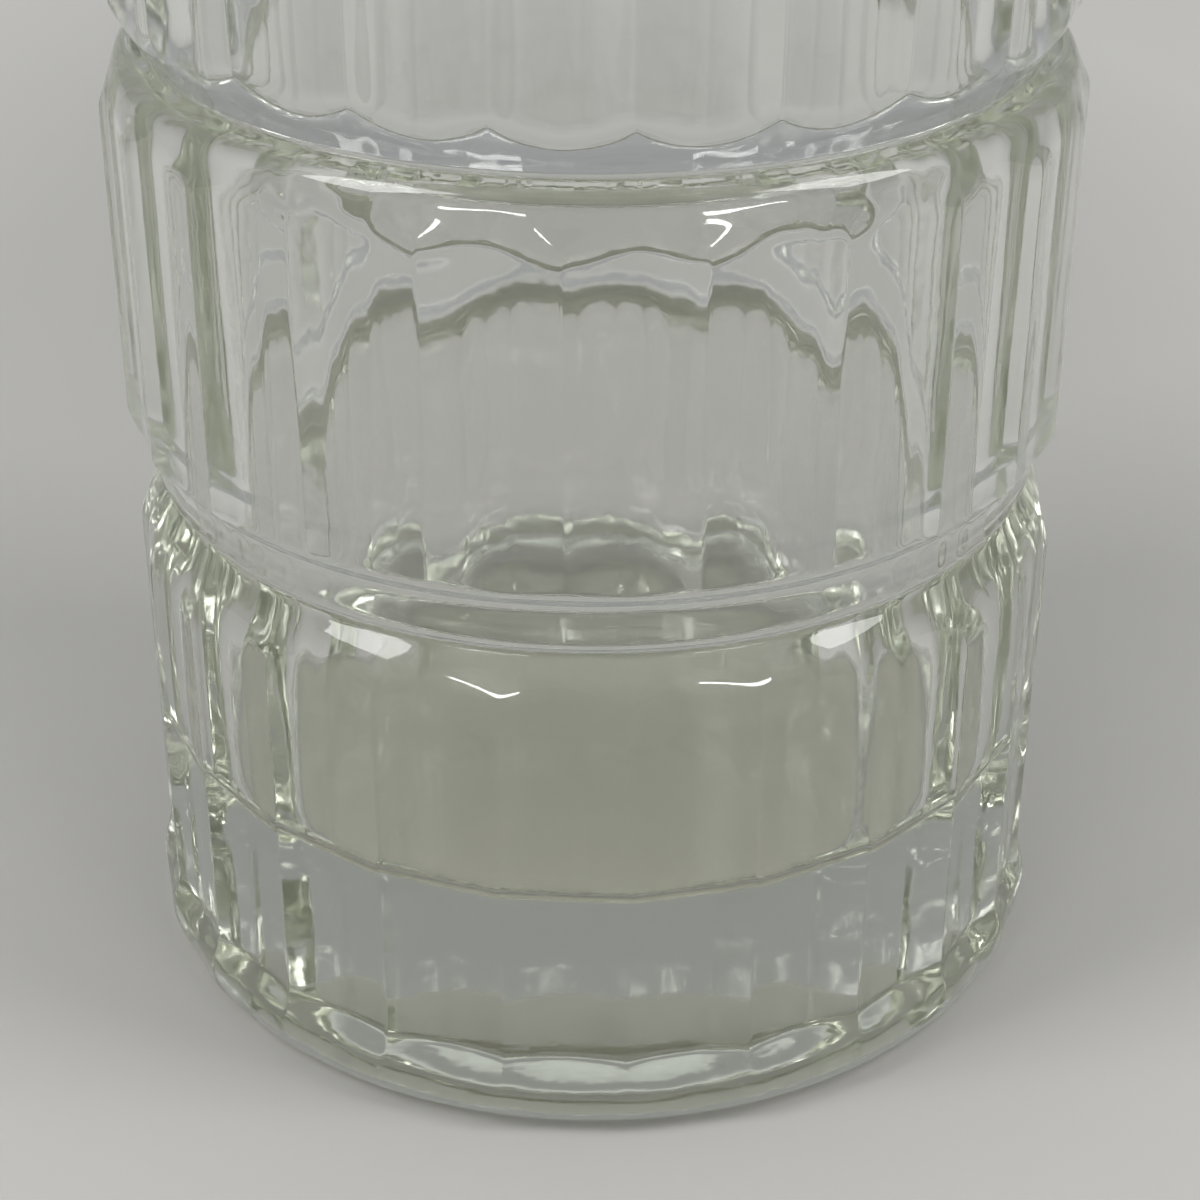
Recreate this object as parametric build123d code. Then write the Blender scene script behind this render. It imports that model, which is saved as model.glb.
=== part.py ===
from build123d import *
import os
from math import cos, radians, sin, tan

# Mixing glass: one piece of thick pressed glass.  Three fluted tiers stand on each
# other, parted by V-grooved rings, with a plain collar and a pouring lip on top.
# The glass is held as zones that meet face to face at the grooves.
# Origin: centre of the underside, +Z up, lip towards +X.
# Lengths are in millimetres, angles in degrees.

# ---- heights ----
base_tier_height = 51.3
middle_tier_height = 43.4
upper_tier_height = 43.0
collar_height = 14.3

# ---- outer wall; swells go out and ring depths go in from the upper tier's radius ----
wall_radius = 45.2
middle_swell = 0.75
base_swell = 0.4
wall_thickness = 6.6
upper_draft = 1.1
middle_draft = 0.4
base_draft = 0.45
chamfer_height = 6.3
chamfer_bow = 0.2
lower_ring_depth = 3.4
middle_ring_depth = 3.95
upper_ring_depth = 3.0

# ---- shoulders, and the plain neck that the middle tier's ribs stop short of ----
shoulder_height = 5.1
shoulder_drop = 1.4
base_shoulder_height = 6.8
base_shoulder_bow = 0.5
bead_height = 2.4
bead_bow = 0.65
neck_inset = 1.6
neck_taper = 0.3
neck_height = 5.6
neck_step = 1.6
groove_flank = 0.8

# ---- flutes ----
flute_count = 24
flute_depth = 0.95
rib_land = 1.3
flute_end_height = 5.0
flute_run_out = 3.5

# ---- foot ----
foot_overhang = 0.6
foot_round = 4.0
foot_band_height = 5.5
foot_flare_height = 2.5
contact_ring_width = 7.0
underside_rise = 1.0

# ---- cavity ----
floor_thickness = 22.9
cavity_draft = 0.9
floor_corner = 3.0

# ---- collar and pouring lip ----
collar_inset = 0.2
collar_chamfer_height = 3.2
rim_round = 1.4
lip_reach = 6.0
lip_half_angle = 24.0
lip_sections = 5
outline_points = 60

# ---- places that follow from the sizes above ----
lower_ring_z = base_tier_height
middle_ring_z = lower_ring_z + middle_tier_height
upper_ring_z = middle_ring_z + upper_tier_height
rim_z = upper_ring_z + collar_height
wall_start_z = foot_band_height + foot_flare_height
base_radius = wall_radius + base_swell
middle_radius = wall_radius + middle_swell
foot_radius = base_radius + foot_overhang
floor_radius = wall_radius - wall_thickness
lower_ring_radius = wall_radius - lower_ring_depth
middle_ring_radius = wall_radius - middle_ring_depth
upper_ring_radius = wall_radius - upper_ring_depth
neck_radius = wall_radius - neck_inset
neck_z = lower_ring_z + neck_height
middle_wall_z = neck_z + neck_step
upper_wall_z = middle_ring_z + chamfer_height
collar_radius = wall_radius - collar_inset
flute_pitch = 360 / flute_count
UP = Vector(0, 0, 1)


def at(radius, z):
    """Point of a profile drawn in the XZ plane."""
    return Vector(radius, 0, z)


def straight(*points):
    """Straight edges through the points, left open."""
    return [Line(start, end) for start, end in zip(points, points[1:])]


def turned(edges):
    """Solid of revolution about Z of a closed profile."""
    return revolve(make_face(edges), Axis.Z)


def bowed(start, end, bow):
    """Arc from a lower to a higher point of a profile that swells outward by bow."""
    span = end - start
    outward = Vector(span.Z, 0, -span.X).normalized()
    return ThreePointArc(start, (start + end) * 0.5 + outward * bow, end)


def leaning_wall(foot, draft, top_z):
    """Wall that leans out by its draft from its foot up to where its shoulder begins."""
    return Line(foot, at(foot.X + (top_z - foot.Z) * tan(radians(draft)), top_z))


def beaded_shoulder(top, ring):
    """Sloping shoulder from a wall's top that ends in a round bead at the ring."""
    bead = at(top.X - shoulder_drop, ring.Z - bead_height)
    return [Line(top, bead), bowed(bead, ring, bead_bow)]


def flute_cutters(foot, draft, start_z, end_z, first_angle, run_out):
    """Ring of upright cutters that lean with the wall which stands on foot.

    Each narrows over run_out at its lower end, so a flute that ends in the wall
    fades out in a U.
    """
    half_angle = radians(flute_pitch / 2) - rib_land / wall_radius / 2
    half_chord = wall_radius * sin(half_angle)
    bow = flute_depth - wall_radius * (1 - cos(half_angle))
    radius = (half_chord**2 + bow**2) / (2 * bow)
    narrow = radius - flute_depth - foot_overhang
    height = end_z - start_z
    profile = straight(
        at(0, 0), at(narrow, 0), at(radius, run_out), at(radius, height), at(0, height), at(0, 0)
    )
    axis = foot.X - flute_depth + radius
    lean = Pos(axis, 0, foot.Z) * Rot(0, draft, 0) * Pos(0, 0, start_z - foot.Z)
    cutter = lean * turned(profile)
    return [Rot(0, 0, first_angle + i * flute_pitch) * cutter for i in range(flute_count)]


def cavity_radius(z):
    """Radius of the cavity's drafted wall at a height."""
    return floor_radius + (z - floor_thickness) * tan(radians(cavity_draft))


def cavity():
    """The smooth inside of the glass: a drafted tub with a rounded floor corner."""
    floor_centre, top_centre = at(0, floor_thickness), at(0, rim_z)
    floor_edge, top_edge = at(floor_radius, floor_thickness), at(cavity_radius(rim_z), rim_z)
    tub = turned(straight(floor_centre, floor_edge, top_edge, top_centre, floor_centre))
    return fillet(tub.edges().group_by(Axis.Z)[0], floor_corner)


def base_tier():
    """Solid foot and floor with the lowest fluted tier, up to the lower ring."""
    contact_radius = foot_radius - foot_round
    hollow_radius = contact_radius - contact_ring_width
    crown = at(0, underside_rise)
    band_top, wall_foot = at(foot_radius, foot_band_height), at(base_radius, wall_start_z)
    flare_middle = (band_top + wall_foot) * 0.5
    profile = [
        TangentArc(crown, at(hollow_radius, 0), tangent=(1, 0, 0)),
        Line(at(hollow_radius, 0), at(contact_radius, 0)),
        TangentArc(at(contact_radius, 0), at(foot_radius, foot_round), tangent=(1, 0, 0)),
        Line(at(foot_radius, foot_round), band_top),
        TangentArc(band_top, flare_middle, tangent=UP),
        TangentArc(wall_foot, flare_middle, tangent=-UP),
    ]
    ring = at(lower_ring_radius, lower_ring_z)
    wall = leaning_wall(wall_foot, base_draft, lower_ring_z - base_shoulder_height)
    profile += [wall, bowed(wall @ 1, ring, base_shoulder_bow)]
    profile += straight(ring, at(0, lower_ring_z), crown)
    cutters = flute_cutters(
        wall_foot, base_draft, flute_end_height, lower_ring_z, flute_pitch / 2, flute_run_out
    )
    return turned(profile) - cutters - cavity()


def open_tier(skirt, ring, draft, flutes_z, first_angle):
    """Open fluted tier from a skirt, the outline below its wall, up to a ring."""
    bottom, wall_foot = skirt[0] @ 0, skirt[-1] @ 1
    wall = leaning_wall(wall_foot, draft, ring.Z - shoulder_height)
    profile = straight(at(0, bottom.Z), bottom) + skirt + [wall]
    profile += beaded_shoulder(wall @ 1, ring)
    profile += straight(ring, at(0, ring.Z), at(0, bottom.Z))
    cutters = flute_cutters(wall_foot, draft, flutes_z, ring.Z, first_angle, 0)
    return turned(profile) - cutters - cavity()


def middle_tier():
    """Tier over the lower ring, whose ribs stop short of a plain neck."""
    skirt = straight(
        at(lower_ring_radius, lower_ring_z),
        at(neck_radius - neck_taper, lower_ring_z + groove_flank),
        at(neck_radius, neck_z),
        at(middle_radius, middle_wall_z),
    )
    return open_tier(skirt, at(middle_ring_radius, middle_ring_z), middle_draft, neck_z, 0)


def upper_tier():
    """Tier over the middle ring, chamfered out from it."""
    start, ring = at(middle_ring_radius, middle_ring_z), at(upper_ring_radius, upper_ring_z)
    skirt = [bowed(start, at(wall_radius, upper_wall_z), chamfer_bow)]
    return open_tier(skirt, ring, upper_draft, middle_ring_z, flute_pitch / 2)


def rim_outline(radius, z, reach):
    """Closed outline round the glass, drawn out towards +X by reach to make the lip."""
    points = []
    for i in range(outline_points):
        angle = i * 360 / outline_points - 180
        swell = cos(radians(90 * angle / lip_half_angle)) ** 2 if abs(angle) < lip_half_angle else 0
        spoke = radius + reach * swell
        points.append(Vector(spoke * cos(radians(angle)), spoke * sin(radians(angle)), z))
    return make_face(Spline(*points, periodic=True))


def drawn_lip(radius_at, bottom_z):
    """Solid up to the rim whose outline swells into the lip, steeper near the top."""
    sections = []
    for i in range(lip_sections):
        share = i / (lip_sections - 1)
        z = bottom_z + share * (rim_z - bottom_z)
        sections.append(rim_outline(radius_at(z), z, lip_reach * share**1.5))
    return loft(sections)


def pouring_rim():
    """Plain collar above the upper ring, with a pouring lip drawn out of its rim."""
    band_z = upper_ring_z + collar_chamfer_height
    ring = rim_outline(upper_ring_radius, upper_ring_z, 0)
    band = rim_outline(collar_radius, band_z, 0)
    collar = loft([ring, band], ruled=True) + drawn_lip(lambda z: collar_radius, band_z)
    throat = loft([rim_outline(cavity_radius(z), z, 0) for z in (upper_ring_z, band_z)], ruled=True)
    collar = collar - throat - drawn_lip(cavity_radius, band_z)
    return fillet(collar.edges().group_by(Axis.Z)[-1], rim_round)


os.makedirs("parts", exist_ok=True)
glass = {
    "base_tier": base_tier(),
    "middle_tier": middle_tier(),
    "upper_tier": upper_tier(),
    "pouring_rim": pouring_rim(),
}
for node, zone in glass.items():
    export_step(zone, f"parts/{node}.step")
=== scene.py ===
"""A clear pressed-glass mixing glass on a pale table top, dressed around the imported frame."""

import logging
import math
from dataclasses import dataclass, field
from enum import Enum, IntEnum

import bpy
import numpy as np
from mathutils import Euler, Matrix, Vector


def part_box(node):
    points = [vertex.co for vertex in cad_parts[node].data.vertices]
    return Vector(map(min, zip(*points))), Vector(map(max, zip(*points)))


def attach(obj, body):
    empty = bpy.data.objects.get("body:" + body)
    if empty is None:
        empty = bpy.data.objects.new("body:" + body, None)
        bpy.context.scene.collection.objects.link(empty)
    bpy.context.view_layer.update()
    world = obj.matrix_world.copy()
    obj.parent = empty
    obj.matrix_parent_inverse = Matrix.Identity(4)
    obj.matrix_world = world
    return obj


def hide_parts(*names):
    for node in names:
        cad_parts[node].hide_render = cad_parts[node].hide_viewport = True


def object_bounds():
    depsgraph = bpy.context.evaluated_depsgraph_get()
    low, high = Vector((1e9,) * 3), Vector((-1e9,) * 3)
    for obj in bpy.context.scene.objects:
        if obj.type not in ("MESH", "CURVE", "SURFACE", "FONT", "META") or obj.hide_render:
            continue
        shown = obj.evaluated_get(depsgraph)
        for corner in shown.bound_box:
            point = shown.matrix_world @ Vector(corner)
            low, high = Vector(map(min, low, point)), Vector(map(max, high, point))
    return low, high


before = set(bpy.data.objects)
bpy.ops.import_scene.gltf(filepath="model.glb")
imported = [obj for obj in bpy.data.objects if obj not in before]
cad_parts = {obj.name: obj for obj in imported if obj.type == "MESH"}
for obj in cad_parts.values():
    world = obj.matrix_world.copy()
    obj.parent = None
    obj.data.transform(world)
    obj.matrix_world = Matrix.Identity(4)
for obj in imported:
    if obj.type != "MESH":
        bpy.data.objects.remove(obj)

CAD_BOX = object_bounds()
MM = 0.001
FULL = 1.0
WHITE = (1.0, 1.0, 1.0, 1.0)
LOG = logging.getLogger("mixing_glass")


# ---------------------------------------------------------------- shader maths


class Value:
    """A shader socket that adds Math nodes when it is used in an expression."""

    def __init__(self, book: "NodeBook", socket: bpy.types.NodeSocket) -> None:
        """Keeps the node tree's builder and the socket."""
        self.book = book
        self.socket = socket

    def _math(self, operation: str, other: object) -> "Value":
        """Adds one Math node that joins this value with another.

        Args:
            operation: the Math node's operation, one whose two inputs may change places.
            other: number or Value to join.

        Returns:
            The node's result.
        """
        return self.book.add("ShaderNodeMath", {"operation": operation}, {0: self, 1: other})

    def __add__(self, other: object) -> "Value":
        """Sum."""
        return self._math("ADD", other)

    def __mul__(self, other: object) -> "Value":
        """Product."""
        return self._math("MULTIPLY", other)

    __radd__ = __add__
    __rmul__ = __mul__


class ColourMix(IntEnum):
    """Numbers of the sockets that a Mix node uses for colours."""

    FACTOR = 0
    FIRST = 6
    SECOND = 7
    RESULT = 2


class NodeBook:
    """Adds nodes to one node tree through a single method."""

    def __init__(self, tree: bpy.types.NodeTree) -> None:
        """Empties the tree and keeps it."""
        tree.nodes.clear()
        self.tree = tree

    def add(self, kind: str, settings: dict | None = None, inputs: dict | None = None,
            output: int | str = 0) -> Value | None:
        """Adds a node, sets it, then fills its sockets.

        Args:
            kind: the node's type name.
            settings: attributes set before the sockets, such as an operation, or a ramp's stops.
            inputs: socket name or number mapped to a number, colour or Value.
            output: name or number of the output to return.

        Returns:
            The chosen output, or None for a node that has no outputs.
        """
        node = self.tree.nodes.new(kind)
        for name, setting in (settings or {}).items():
            if name == "stops":
                self._set_stops(node, setting)
            else:
                setattr(node, name, setting)
        for name, content in (inputs or {}).items():
            if isinstance(content, Value):
                self.tree.links.new(content.socket, node.inputs[name])
            else:
                node.inputs[name].default_value = content
        return Value(self, node.outputs[output]) if len(node.outputs) else None

    @staticmethod
    def _set_stops(node: bpy.types.Node, stops: tuple) -> None:
        """Sets a new colour ramp's stops.

        Args:
            node: the ramp, which has its first and its last stop already.
            stops: (position, colour) pairs in order.
        """
        ramp = node.color_ramp
        for position, _ in stops[1:-1]:
            ramp.elements.new(position)
        for element, (position, colour) in zip(ramp.elements, stops):
            element.position = position
            element.color = colour


# ---------------------------------------------------------------- finishes


@dataclass(frozen=True)
class GlassFinish:
    """Fire-polished soda-lime glass, tinted only where it is thick and polished unevenly."""

    name: str = "clear_glass"
    colour: tuple = (0.956, 0.960, 0.952, 1.0)
    ior: float = 1.52
    tint: tuple = (0.64, 0.67, 0.55, 1.0)
    tint_density: float = 10.0
    polish: float = 0.01
    smear_roughness: float = 0.06
    smear_scale: float = 45.0
    smear_detail: float = 4.0
    ripple_depth: float = 0.035 * MM
    ripple_scale: float = 120.0
    ripple_detail: float = 3.0
    grain: float = 0.6

    def material(self) -> bpy.types.Material:
        """Builds the node material.

        Returns:
            The finished material.
        """
        material = bpy.data.materials.new(self.name)
        material.use_nodes = True
        book = NodeBook(material.node_tree)
        place = book.add("ShaderNodeTexCoord", output="Object")
        ripple = self.noise(book, place, self.ripple_scale, self.ripple_detail)
        relief = book.add("ShaderNodeBump", {}, {
            "Strength": FULL, "Distance": self.ripple_depth, "Height": ripple})
        smear = self.noise(book, place, self.smear_scale, self.smear_detail)
        surface = book.add("ShaderNodeBsdfPrincipled", {}, {
            "Base Color": self.colour, "Roughness": self.polish + self.smear_roughness * smear,
            "IOR": self.ior, "Transmission Weight": FULL, "Normal": relief})
        inside = book.add("ShaderNodeVolumeAbsorption", {}, {
            "Color": self.tint, "Density": self.tint_density})
        book.add("ShaderNodeOutputMaterial", {}, {"Surface": surface, "Volume": inside})
        return material

    def noise(self, book: NodeBook, place: Value, scale: float, detail: float) -> Value:
        """Adds a noise over the glass.

        Args:
            book: builder of the material's nodes.
            place: coordinates that the noise follows.
            scale: how fine the noise is.
            detail: how many finer layers are added to it.

        Returns:
            The noise, from 0 to 1.
        """
        return book.add("ShaderNodeTexNoise", {}, {
            "Vector": place, "Scale": scale, "Detail": detail, "Roughness": self.grain})


@dataclass(frozen=True)
class TableFinish:
    """Matt pale table top with a faint mottle and a painted shadow, darker in a wide oval around
    the glass.

    The round spot under the glass is lighter. It makes up for light that thick glass
    gathers under itself and that the renderer doesn't find.
    """

    name: str = "pale_table"
    light: tuple = (0.512, 0.502, 0.478, 1.0)
    dark: tuple = (0.482, 0.472, 0.449, 1.0)
    mottle_scale: float = 9.0
    mottle_detail: float = 4.0
    # Painted shadow of the glass: a wide oval centred behind it, where the table colour is
    # darkened.
    painted_shadow_centre: tuple = (0.0, 0.14, 0.0)
    painted_shadow_reach: tuple = (0.14, 0.25, 1.0)
    painted_shadow_stops: tuple = (
        (0.0, (0.77, 0.77, 0.755, 1.0)), (0.30, (0.77, 0.77, 0.755, 1.0)),
        (0.58, (0.82, 0.82, 0.82, 1.0)), (0.80, (0.91, 0.91, 0.91, 1.0)), (1.0, WHITE))
    spot: tuple = (2.025, 2.025, 1.781, 1.0)
    spot_centre: tuple = (0.0, 0.002, 0.0)
    spot_radius: float = 0.040
    spot_end: float = 0.0445
    roughness: float = 0.6
    specular: float = 0.25

    def material(self) -> bpy.types.Material:
        """Builds the node material.

        Returns:
            The finished material.
        """
        material = bpy.data.materials.new(self.name)
        material.use_nodes = True
        book = NodeBook(material.node_tree)
        place = book.add("ShaderNodeTexCoord", output="Object")
        mottle = book.add("ShaderNodeTexNoise", {}, {
            "Vector": place, "Scale": self.mottle_scale, "Detail": self.mottle_detail})
        colour = book.add("ShaderNodeMix", {"data_type": "RGBA"}, {
            ColourMix.FACTOR: mottle, ColourMix.FIRST: self.dark, ColourMix.SECOND: self.light},
            output=ColourMix.RESULT)
        # Painted shadow: multiplies the colour by a darker ramp over the oval round the glass.
        offset = self.offset(book, place, self.painted_shadow_centre)
        offset = book.add("ShaderNodeVectorMath", {"operation": "DIVIDE"}, {
            0: offset, 1: self.painted_shadow_reach})
        colour = self.shaded(book, colour, offset, self.painted_shadow_stops)
        spot_stops = ((0.0, self.spot), (self.spot_radius, self.spot),
                      (self.spot_end, WHITE), (1.0, WHITE))
        offset = self.offset(book, place, self.spot_centre)
        colour = self.shaded(book, colour, offset, spot_stops)
        surface = book.add("ShaderNodeBsdfPrincipled", {}, {
            "Base Color": colour, "Roughness": self.roughness,
            "Specular IOR Level": self.specular})
        book.add("ShaderNodeOutputMaterial", {}, {"Surface": surface})
        return material

    @staticmethod
    def offset(book: NodeBook, place: Value, centre: tuple) -> Value:
        """Vector from a centre to the place."""
        return book.add("ShaderNodeVectorMath", {"operation": "SUBTRACT"}, {0: place, 1: centre})

    @staticmethod
    def shaded(book: NodeBook, colour: Value, offset: Value, stops: tuple) -> Value:
        """Multiplies a colour by a ramp over the length of an offset.

        Args:
            book: builder of the material's nodes.
            colour: the colour so far.
            offset: vector whose length is looked up in the ramp.
            stops: (length, colour) pairs of the ramp.

        Returns:
            The multiplied colour.
        """
        away = book.add("ShaderNodeVectorMath", {"operation": "LENGTH"}, {0: offset}, "Value")
        shade = book.add("ShaderNodeValToRGB", {"stops": stops}, {0: away})
        return book.add("ShaderNodeMix", {"data_type": "RGBA", "blend_type": "MULTIPLY"}, {
            ColourMix.FACTOR: FULL, ColourMix.FIRST: colour, ColourMix.SECOND: shade},
            output=ColourMix.RESULT)


# ---------------------------------------------------------------- the glass


class Stagger(Enum):
    """How a tier's flutes stand against the flutes of the foot, in pitches."""

    ALIGNED = 0.0
    HALF_PITCH = 0.5


@dataclass(frozen=True)
class Tier:
    """One fluted tier: its leaning wall, its shoulder, the ring above it and its flutes."""

    bottom_z: float
    flutes_z: float
    wall_z: float
    wall_radius: float
    draft: float
    shoulder_height: float
    top_z: float
    top_radius: float
    beaded: bool
    edge_round: float
    stagger: Stagger


@dataclass(frozen=True)
class Ripple:
    """Faint waviness of moulded glass, as a sum of seeded waves round a wall."""

    round_length: float
    up_length: float
    depth: float
    seed: int
    waves: int = 28
    fewest_turns: float = 0.25

    def offset(self, angle: np.ndarray, z: np.ndarray, radius: float) -> np.ndarray:
        """How far the ripple moves the surface.

        Args:
            angle: angles about the axis.
            z: heights.
            radius: radius of the wall, which its wavelengths are measured along.

        Returns:
            Offset of the surface from its mean.
        """
        draw = np.random.default_rng(self.seed)
        total = np.zeros(np.broadcast(angle, z).shape)
        most_turns = 2 * math.pi * radius / self.round_length
        for _ in range(self.waves):
            turns = round(most_turns * draw.uniform(self.fewest_turns, 1.0))
            climb = 2 * math.pi / self.up_length * draw.uniform(-1.0, 1.0)
            total += np.cos(turns * angle + climb * z + draw.uniform(0, 2 * math.pi))
        return self.depth * total * math.sqrt(2 / self.waves)


@dataclass(frozen=True)
class Weave:
    """How the outline is traced, and how close-set the rows and columns of the skin are."""

    trace_step: float = 0.05 * MM
    same_point: float = 1e-7
    blur_share: float = 0.6
    blur_reach: int = 3
    fine_step: float = 0.42 * MM
    coarse_step: float = 2.2 * MM
    turn_per_row: float = 0.12
    least_bend: float = 1e-6
    bend_window: int = 21
    curve_points: int = 24
    underside_points: int = 40
    rim_points: int = 16
    corner_points: int = 30
    columns_per_flute: int = 24
    crowding: float = 0.55
    run_out_reach: float = 4.5 * MM
    arch_drop: float = 4.0 * MM
    arch_reach: float = 4.2 * MM
    neck_margin: float = 0.5 * MM


@dataclass
class PressedGlass:
    """The whole vessel as one closed skin, so that light passes through it as glass."""

    flute_count: int = 24
    wall_radius: float = 45.2 * MM
    wall_thickness: float = 6.6 * MM
    base_swell: float = 0.4 * MM
    middle_swell: float = 0.75 * MM
    upper_draft: float = math.radians(1.1)
    base_draft: float = math.radians(0.45)
    middle_draft: float = math.radians(0.4)
    chamfer_height: float = 6.3 * MM
    chamfer_bow: float = 0.2 * MM
    neck_inset: float = 1.6 * MM
    neck_taper: float = 0.3 * MM
    neck_height: float = 5.6 * MM
    neck_step: float = 1.6 * MM
    groove_flank: float = 0.8 * MM
    shoulder_height: float = 5.1 * MM
    shoulder_drop: float = 1.4 * MM
    base_shoulder_height: float = 6.8 * MM
    base_shoulder_bow: float = 0.5 * MM
    bead_height: float = 2.4 * MM
    bead_bow: float = 1.0 * MM
    lower_ring_depth: float = 3.4 * MM
    middle_ring_depth: float = 3.95 * MM
    upper_ring_depth: float = 3.0 * MM
    flute_depth: float = 0.95 * MM
    flute_inner_share: float = 0.9
    rib_land: float = 1.3 * MM
    flute_end_height: float = 5.0 * MM
    flute_run_out: float = 3.5 * MM
    foot_clearance: float = 0.02 * MM
    foot_round: float = 4.0 * MM
    foot_band_height: float = 5.5 * MM
    foot_flare_height: float = 2.5 * MM
    contact_ring_width: float = 7.0 * MM
    underside_rise: float = 1.0 * MM
    floor_thickness: float = 22.9 * MM
    cavity_draft: float = math.radians(0.9)
    floor_corner: float = 3.0 * MM
    collar_chamfer_height: float = 3.2 * MM
    rim_round: float = 2.1 * MM
    lip_half_angle: float = math.radians(24.0)
    lip_power: float = 1.5
    arris_round: float = 0.9 * MM
    base_edge_round: float = 1.5 * MM
    outer_ripple: Ripple = Ripple(9 * MM, 12 * MM, 0.012 * MM, 7)
    inner_ripple: Ripple = Ripple(3 * MM, 60 * MM, 0.02 * MM, 8)
    weave: Weave = field(default_factory=Weave)
    finish: GlassFinish = field(default_factory=GlassFinish)

    def __post_init__(self) -> None:
        """Reads the heights and the outer radii from the frame, and lays out the tiers."""
        self.lower_ring_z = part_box("base_tier")[1].z
        self.middle_ring_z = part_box("middle_tier")[1].z
        self.upper_ring_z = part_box("upper_tier")[1].z
        self.rim_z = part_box("pouring_rim")[1].z
        self.foot_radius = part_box("base_tier")[1].y - self.foot_clearance
        self.collar_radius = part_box("pouring_rim")[1].y
        self.lip_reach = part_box("pouring_rim")[1].x - self.collar_radius
        self.band_z = self.upper_ring_z + self.collar_chamfer_height
        neck_z = self.lower_ring_z + self.neck_height
        base = Tier(
            bottom_z=0.0, flutes_z=0.0, wall_z=self.foot_band_height + self.foot_flare_height,
            wall_radius=self.wall_radius + self.base_swell, draft=self.base_draft,
            shoulder_height=self.base_shoulder_height, top_z=self.lower_ring_z,
            top_radius=self.wall_radius - self.lower_ring_depth, beaded=False,
            edge_round=self.base_edge_round, stagger=Stagger.ALIGNED)
        middle = Tier(
            bottom_z=self.lower_ring_z, flutes_z=neck_z, wall_z=neck_z + self.neck_step,
            wall_radius=self.wall_radius + self.middle_swell, draft=self.middle_draft,
            shoulder_height=self.shoulder_height, top_z=self.middle_ring_z,
            top_radius=self.wall_radius - self.middle_ring_depth, beaded=True,
            edge_round=self.arris_round, stagger=Stagger.HALF_PITCH)
        upper = Tier(
            bottom_z=self.middle_ring_z, flutes_z=self.middle_ring_z,
            wall_z=self.middle_ring_z + self.chamfer_height,
            wall_radius=self.wall_radius, draft=self.upper_draft,
            shoulder_height=self.shoulder_height, top_z=self.upper_ring_z,
            top_radius=self.wall_radius - self.upper_ring_depth, beaded=True,
            edge_round=self.arris_round, stagger=Stagger.ALIGNED)
        self.tiers = (base, middle, upper)

    # ---- profile of the blank, before the flutes ----

    def wall_at(self, tier: Tier, z: np.ndarray | float) -> np.ndarray | float:
        """Radius of a tier's drafted wall at a height."""
        return tier.wall_radius + (z - tier.wall_z) * math.tan(tier.draft)

    def cavity_at(self, z: np.ndarray | float) -> np.ndarray | float:
        """Radius of the cavity at a height."""
        floor_radius = self.wall_radius - self.wall_thickness
        return floor_radius + (z - self.floor_thickness) * math.tan(self.cavity_draft)

    def bowed(self, start: tuple, end: tuple, bow: float) -> list[tuple[float, float]]:
        """Curve between two points of the outline that swells outward.

        Args:
            start: (radius, height) of its lower end.
            end: (radius, height) of its upper end.
            bow: how far its middle stands out from the straight line.

        Returns:
            (radius, height) points.
        """
        run, climb = end[0] - start[0], end[1] - start[1]
        length = math.hypot(run, climb)
        points = []
        for share in np.linspace(0, 1, self.weave.curve_points):
            swell = bow * 4 * share * (1 - share)
            points.append((start[0] + run * share + swell * climb / length,
                           start[1] + climb * share - swell * run / length))
        return points

    def shoulder(self, tier: Tier) -> list[tuple[float, float]]:
        """Outline from the top of a tier's wall to the ring above.

        Args:
            tier: the tier whose shoulder is wanted.

        Returns:
            (radius, height) points, from the wall up.
        """
        start_z = tier.top_z - tier.shoulder_height
        wall = (self.wall_at(tier, start_z), start_z)
        ring = (tier.top_radius, tier.top_z)
        if not tier.beaded:
            return self.bowed(wall, ring, self.base_shoulder_bow)
        bead = (wall[0] - self.shoulder_drop, tier.top_z - self.bead_height)
        return [wall] + self.bowed(bead, ring, self.bead_bow)

    def below_wall(self, tier: Tier, ring_radius: float) -> list[tuple[float, float]]:
        """Outline from the ring below a tier to the bottom of its wall.

        Args:
            tier: the tier above the ring.
            ring_radius: radius of that ring.

        Returns:
            (radius, height) points, from the ring up.
        """
        wall = (tier.wall_radius, tier.wall_z)
        if tier.flutes_z == tier.bottom_z:
            return self.bowed((ring_radius, tier.bottom_z), wall, self.chamfer_bow)
        neck = self.wall_radius - self.neck_inset
        groove = (neck - self.neck_taper, tier.bottom_z + self.groove_flank)
        return [groove, (neck, tier.flutes_z), wall]

    def foot(self) -> list[tuple[float, float]]:
        """Outline of the underside, the round edge of the foot, its band and its flare.

        Returns:
            (radius, height) points, from the middle of the underside out and up.
        """
        contact = self.foot_radius - self.foot_round
        hollow = contact - self.contact_ring_width
        points = [(hollow * share, self.underside_rise * (1 - share**2))
                  for share in np.linspace(0, 1, self.weave.underside_points)]
        points += [(contact + self.foot_round * math.sin(turn),
                    self.foot_round * (1 - math.cos(turn)))
                   for turn in np.linspace(0, math.pi / 2, self.weave.curve_points)]
        base_radius = self.wall_radius + self.base_swell
        overhang = self.foot_radius - base_radius
        points += [(base_radius + overhang * (1 + math.cos(math.pi * share)) / 2,
                    self.foot_band_height + self.foot_flare_height * share)
                   for share in np.linspace(0, 1, self.weave.curve_points)]
        return points

    def rim(self) -> list[tuple[float, float]]:
        """Outline of the collar and over its rounded rim, before the lip is drawn out.

        Returns:
            (radius, height) points, from outside to inside.
        """
        points = [(self.collar_radius, self.band_z)]
        inner = self.cavity_at(self.rim_z)
        bead = self.rim_round
        for centre, start in ((self.collar_radius - bead, 0.0), (inner + bead, math.pi / 2)):
            points += [
                (centre + bead * math.cos(turn), self.rim_z - bead + bead * math.sin(turn))
                for turn in np.linspace(start, start + math.pi / 2, self.weave.rim_points)]
        return points

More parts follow.
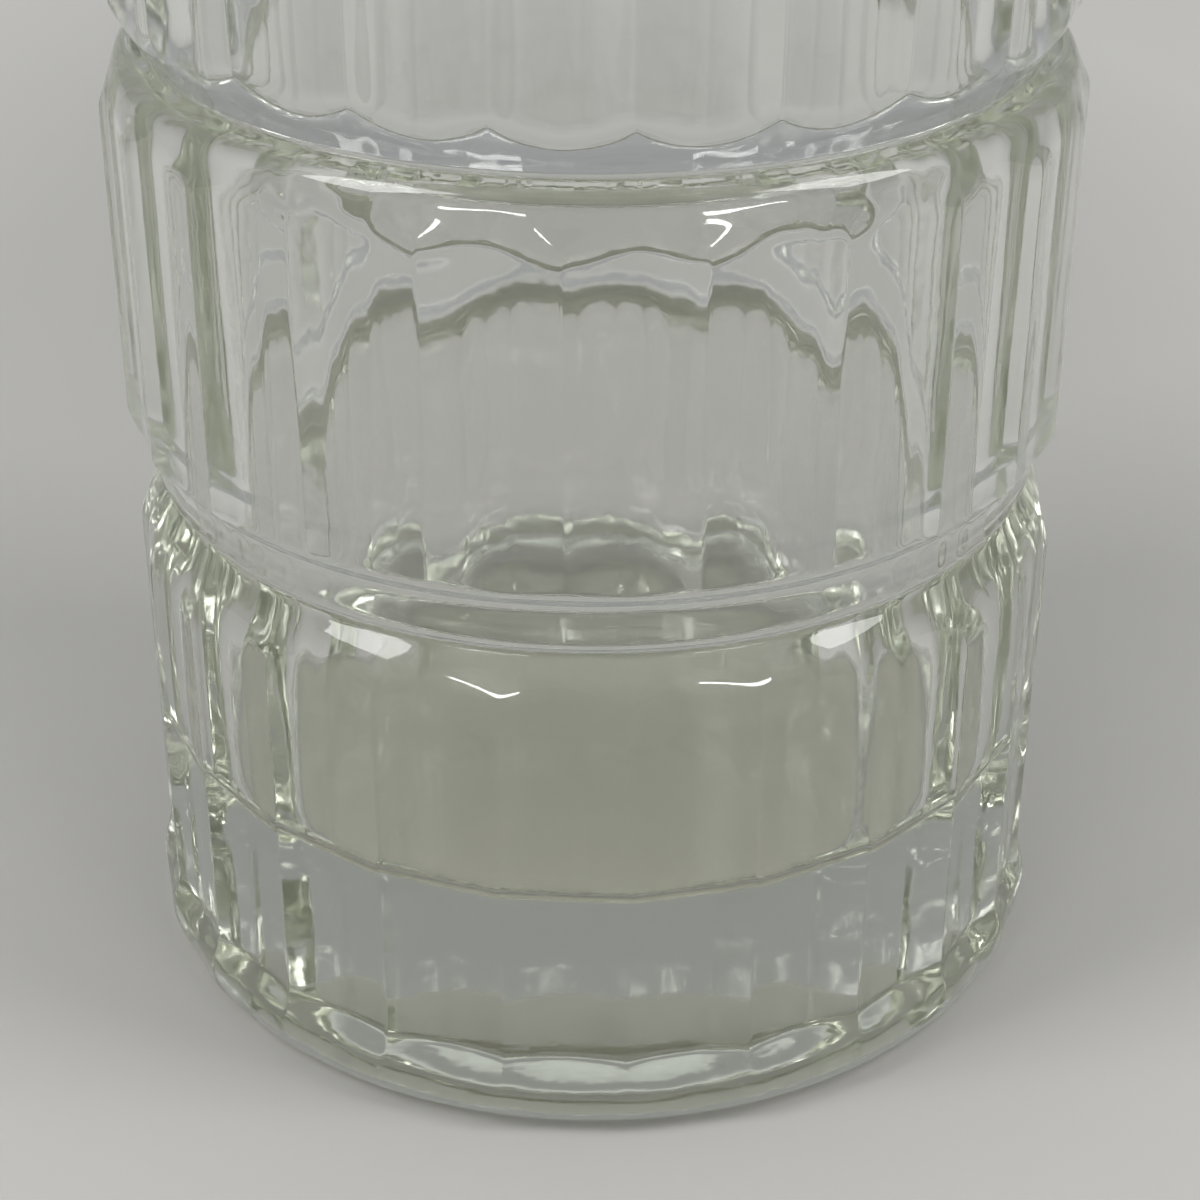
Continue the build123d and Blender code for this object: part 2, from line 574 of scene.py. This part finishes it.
    def outer_profile(self) -> list[tuple[float, float]]:
        """Blank's outline from the middle of the underside up and over the rim.

        Returns:
            (radius, height) points.
        """
        points = self.foot()
        ring_radius = 0.0
        for tier in self.tiers:
            if tier.bottom_z:
                points += self.below_wall(tier, ring_radius)
            points += self.shoulder(tier)
            ring_radius = tier.top_radius
        return points + self.rim()

    def inner_profile(self) -> list[tuple[float, float]]:
        """Cavity's outline from below the rim down to the middle of the floor.

        Returns:
            (radius, height) points.
        """
        corner = self.floor_corner
        corner_z = self.floor_thickness + corner
        points = [(self.cavity_at(self.band_z), self.band_z)]
        points += [(self.cavity_at(corner_z) - corner * (1 - math.cos(turn)),
                    corner_z - corner * math.sin(turn))
                   for turn in np.linspace(0, math.pi / 2, self.weave.corner_points)]
        points.append((0.0, self.floor_thickness))
        return points

    def traced(self) -> np.ndarray:
        """Blank's outline in small even steps, with its corners softened.

        Returns:
            Array of (radius, height) rows.
        """
        points = np.array(self.outer_profile() + self.inner_profile())
        apart = np.hypot(*np.diff(points, axis=0).T) > self.weave.same_point
        points = points[np.r_[True, apart]]
        length = np.r_[0, np.cumsum(np.hypot(*np.diff(points, axis=0).T))]
        step = self.weave.trace_step
        even = np.arange(0, length[-1], step)
        track = np.stack([np.interp(even, length, points[:, i]) for i in (0, 1)], 1)
        reach = int(self.weave.blur_reach * self.arris_round / step)
        spread = self.weave.blur_share * self.arris_round
        weight = np.exp(-0.5 * (np.arange(-reach, reach + 1) * step / spread) ** 2)
        weight /= weight.sum()
        padded = np.pad(track, ((reach, reach), (0, 0)), mode="reflect", reflect_type="odd")
        track = np.stack([np.convolve(padded[:, i], weight, "valid") for i in (0, 1)], 1)
        track[0, 0] = track[-1, 0] = 0.0
        return track

    def profile(self) -> np.ndarray:
        """Softened outline with its rows close-set only where its shape needs it.

        Returns:
            Array of (radius, height) rows.
        """
        weave, track = self.weave, self.traced()
        turn = np.unwrap(np.arctan2(*np.gradient(track, axis=0).T[::-1]))
        bend = np.abs(np.gradient(turn)) / weave.trace_step
        bend = np.convolve(bend, np.ones(weave.bend_window) / weave.bend_window, "same")
        want = np.clip(weave.turn_per_row / np.maximum(bend, weave.least_bend),
                       weave.fine_step, weave.coarse_step)
        want = np.where(self.in_arch_zone(track), weave.fine_step, want)
        count = np.r_[0, np.cumsum(weave.trace_step / want[:-1])]
        picks = np.interp(np.linspace(0, count[-1], int(round(count[-1])) + 1), count,
                          np.arange(len(count)))
        rows = np.arange(len(track))
        return np.stack([np.interp(picks, rows, track[:, i]) for i in (0, 1)], 1)

    def in_arch_zone(self, track: np.ndarray) -> np.ndarray:
        """Marks the heights where flutes begin or end on the outer wall.

        Args:
            track: (radius, height) rows.

        Returns:
            One flag for each row.
        """
        radius, z = track.T
        outside = radius > (self.wall_radius + self.cavity_at(z)) / 2
        run_out_z = self.flute_end_height + self.flute_run_out / 2
        marks = np.abs(z - run_out_z) < self.weave.run_out_reach
        for tier in self.tiers:
            marks |= np.abs(z - (tier.top_z - self.weave.arch_drop)) < self.weave.arch_reach
            if tier.bottom_z:
                marks |= (z > tier.bottom_z) & (z < tier.wall_z + self.weave.neck_margin)
        return outside & marks

    # ---- flutes and lip ----

    def flute_floor(self, tier: Tier, angle: np.ndarray, z: np.ndarray) -> np.ndarray:
        """Radius of a tier's concave flutes.

        Args:
            tier: the tier.
            angle: angles about the axis, from +X.
            z: heights.

        Returns:
            Radius of the flute's face, infinite where there is none.
        """
        pitch = 2 * math.pi / self.flute_count
        half_angle = pitch / 2 - self.rib_land / self.wall_radius / 2
        half_chord = self.wall_radius * math.sin(half_angle)
        bow = self.flute_depth - self.wall_radius * (1 - math.cos(half_angle))
        radius = (half_chord**2 + bow**2) / (2 * bow)
        axis = self.wall_at(tier, z) - self.flute_depth + radius
        if not tier.bottom_z:
            rise = np.clip((z - self.flute_end_height) / self.flute_run_out, 0, 1)
            overhang = self.foot_radius - tier.wall_radius
            radius = radius - (self.flute_depth + overhang) * (1 - rise)
        share = angle / pitch + tier.stagger.value
        local = (share - np.floor(share) - 0.5) * pitch
        inside = radius**2 - (axis * np.sin(local)) ** 2
        face = axis * np.cos(local) - np.sqrt(np.maximum(inside, 0))
        return np.where(inside > 0, face, np.inf)

    def lip_swell(self, angle: np.ndarray, z: np.ndarray) -> np.ndarray:
        """How far the pouring lip draws the collar out.

        Args:
            angle: angles about the axis, from +X.
            z: heights.

        Returns:
            Distance by which the radius grows.
        """
        turn = (angle + math.pi) % (2 * math.pi) - math.pi
        swell = np.where(np.abs(turn) < self.lip_half_angle,
                         np.cos(math.pi / 2 * turn / self.lip_half_angle) ** 2, 0.0)
        share = np.clip((z - self.band_z) / (self.rim_z - self.band_z), 0, 1)
        return self.lip_reach * swell * share**self.lip_power

    # ---- skin ----

    def column_angles(self) -> np.ndarray:
        """Angles of the skin's columns, crowded where the ribs meet the flutes.

        Returns:
            Angles about the axis, from +X.
        """
        columns = self.weave.columns_per_flute
        steps = np.arange(columns * self.flute_count) / columns
        crowded = steps - self.weave.crowding * np.sin(4 * math.pi * steps) / (4 * math.pi)
        return crowded * (2 * math.pi / self.flute_count)

    def skin(self) -> np.ndarray:
        """Points of the closed skin.

        Returns:
            Grid of points, with a row for each point of the outline, round the axis.
        """
        track = self.profile()
        angle, row_r = np.meshgrid(self.column_angles(), track[:, 0])
        row_z = np.repeat(track[:, 1:2], angle.shape[1], 1)
        top = int(np.argmax(track[:, 1]))
        outside = (np.arange(len(track)) < top)[:, None] & np.ones_like(angle, bool)
        fluted = outside & (row_r > self.flute_inner_share * self.wall_radius)
        radius = row_r.copy()
        for tier in self.tiers:
            here = fluted & (row_z > tier.flutes_z) & (row_z <= tier.top_z)
            face = self.flute_floor(tier, angle, row_z)
            soft = np.maximum(tier.edge_round - np.abs(face - row_r), 0) / tier.edge_round
            cut = np.minimum(face, row_r) - soft**2 * tier.edge_round / 4
            radius = np.where(here, cut, radius)
        radius = np.where(row_z > self.band_z, radius + self.lip_swell(angle, row_z), radius)
        share = np.clip(row_r / self.wall_radius, 0, 1)
        wave_out = self.outer_ripple.offset(angle, row_z, self.wall_radius)
        wave_in = self.inner_ripple.offset(angle, row_z, self.wall_radius)
        radius += np.where(outside, wave_out, wave_in) * share
        return np.stack([radius * np.cos(angle), radius * np.sin(angle), row_z], -1)

    def build(self) -> bpy.types.Object:
        """Makes the skin, dresses it and puts it in the frame in place of the zones.

        Returns:
            The finished piece.
        """
        grid = self.skin()
        ring = grid[1:-1].reshape(-1, 3)
        points = np.vstack([ring, grid[0, :1], grid[-1, :1]])
        index = np.arange(len(ring)).reshape(grid[1:-1].shape[:2])
        beside = np.roll(index, -1, 1)
        quads = np.stack([index[:-1], beside[:-1], beside[1:], index[1:]], -1).reshape(-1, 4)
        foot, floor = len(ring), len(ring) + 1
        faces = quads.tolist()
        faces += [(foot, b, a) for a, b in zip(index[0].tolist(), beside[0].tolist())]
        faces += [(floor, a, b) for a, b in zip(index[-1].tolist(), beside[-1].tolist())]
        mesh = bpy.data.meshes.new("mixing_glass")
        mesh.from_pydata(points.tolist(), [], faces)
        mesh.polygons.foreach_set("use_smooth", [True] * len(mesh.polygons))
        mesh.materials.append(self.finish.material())
        mesh.update()
        piece = bpy.data.objects.new("mixing_glass", mesh)
        bpy.context.scene.collection.objects.link(piece)
        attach(piece, "root")
        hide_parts("base_tier", "middle_tier", "upper_tier", "pouring_rim")
        LOG.info("mixing_glass: %d points, %d faces", len(points), len(faces))
        return piece


# ---------------------------------------------------------------- stage


@dataclass
class Table:
    """Pale table top that the glass stands on, with a thin gap of air between."""

    half_size: float = 2.0
    divisions: int = 8
    air_gap: float = 0.1 * MM
    finish: TableFinish = field(default_factory=TableFinish)

    def build(self) -> bpy.types.Object:
        """Makes the table top as a subdivided sheet just below the foot of the glass.

        Returns:
            The stage object.
        """
        side = np.linspace(-self.half_size, self.half_size, self.divisions + 1)
        points = [(x, y, CAD_BOX[0][2] - self.air_gap) for y in side for x in side]
        width = self.divisions + 1
        faces = [(j * width + i, j * width + i + 1, (j + 1) * width + i + 1, (j + 1) * width + i)
                 for j in range(self.divisions) for i in range(self.divisions)]
        mesh = bpy.data.meshes.new("table_top")
        mesh.from_pydata(points, [], faces)
        mesh.materials.append(self.finish.material())
        table = bpy.data.objects.new("table_top", mesh)
        bpy.context.scene.collection.objects.link(table)
        LOG.info("table_top: stage")
        return table


@dataclass(frozen=True)
class Lamp:
    """One rectangular lamp: where it hangs, its width and height, and its watts."""

    name: str
    place: tuple
    size: tuple
    power: float


@dataclass
class Studio:
    """Camera, lamps and the surrounding light."""

    lens: float = 83.712
    sensor: float = 36.0
    clip_start: float = 10 * MM
    distance: float = 251.6 * MM
    height: float = 175.6 * MM
    tilt: float = math.radians(29.6)
    azimuth: float = math.radians(-4.1)
    pan: float = math.radians(0.13)
    roll: float = math.radians(0.15)
    lamps: tuple = (
        Lamp("left_softbox", (-1.0, -0.4, 1.2), (0.5, 0.9), 10.5),
        Lamp("right_softbox", (1.0, -0.4, 1.2), (0.5, 0.9), 9.2),
        Lamp("left_glint", (-0.7, -1.2, 0.7), (0.5, 0.07), 2.4),
        Lamp("right_glint", (0.7, -1.2, 0.7), (0.5, 0.07), 2.4))
    lamp_aim: tuple = (0.0, 0.0, 0.07)
    room_stops: tuple = (
        (0.0, (0.33, 0.335, 0.345, 1.0)), (0.66, (0.375, 0.38, 0.39, 1.0)),
        (0.82, (0.76, 0.78, 0.80, 1.0)), (1.0, (0.82, 0.84, 0.86, 1.0)))
    bounces: int = 64

    def camera(self) -> None:
        """Places the camera."""
        data = bpy.data.cameras.new("camera")
        data.sensor_width = self.sensor
        data.lens = self.lens
        data.clip_start = self.clip_start
        camera = bpy.data.objects.new("camera", data)
        camera.location = (self.distance * math.sin(self.azimuth),
                           -self.distance * math.cos(self.azimuth), self.height)
        aim = Euler((math.pi / 2 - self.tilt, 0.0, self.azimuth - self.pan)).to_matrix()
        camera.rotation_euler = (aim @ Matrix.Rotation(self.roll, 3, "Z")).to_euler()
        bpy.context.scene.collection.objects.link(camera)
        bpy.context.scene.camera = camera

    def hang(self, lamp: Lamp) -> None:
        """Adds one lamp that faces the glass.

        Args:
            lamp: the lamp to add.
        """
        data = bpy.data.lights.new(lamp.name, "AREA")
        data.shape = "RECTANGLE"
        data.size, data.size_y = lamp.size
        data.energy = lamp.power
        hung = bpy.data.objects.new(lamp.name, data)
        hung.location = lamp.place
        aim = Vector(self.lamp_aim) - Vector(lamp.place)
        hung.rotation_euler = aim.to_track_quat("-Z", "Y").to_euler()
        bpy.context.scene.collection.objects.link(hung)

    def room(self) -> None:
        """Makes the surrounding light, dim round about and brighter overhead."""
        world = bpy.data.worlds.new("room")
        world.use_nodes = True
        book = NodeBook(world.node_tree)
        way = book.add("ShaderNodeTexCoord", output="Generated")
        height = book.add("ShaderNodeSeparateXYZ", {}, {0: way}, output="Z")
        level = book.add("ShaderNodeValToRGB", {"stops": self.room_stops}, {0: height})
        glow = book.add("ShaderNodeBackground", {}, {"Color": level, "Strength": FULL})
        book.add("ShaderNodeOutputWorld", {}, {"Surface": glow})
        bpy.context.scene.world = world

    def build(self) -> None:
        """Makes the camera, the lamps and the room, and lets light bounce on inside the glass."""
        self.camera()
        for lamp in self.lamps:
            self.hang(lamp)
        self.room()
        scene = bpy.context.scene
        scene.view_settings.view_transform = "Standard"
        scene.cycles.max_bounces = self.bounces
        scene.cycles.transmission_bounces = self.bounces
        scene.cycles.glossy_bounces = self.bounces
        LOG.info("studio: camera, %d lamps, world", len(self.lamps))


def main() -> None:
    """Builds every piece in order."""
    logging.basicConfig(level=logging.INFO, format="%(name)s: %(message)s")
    PressedGlass().build()
    Table().build()
    Studio().build()


if __name__ == "__main__":
    main()
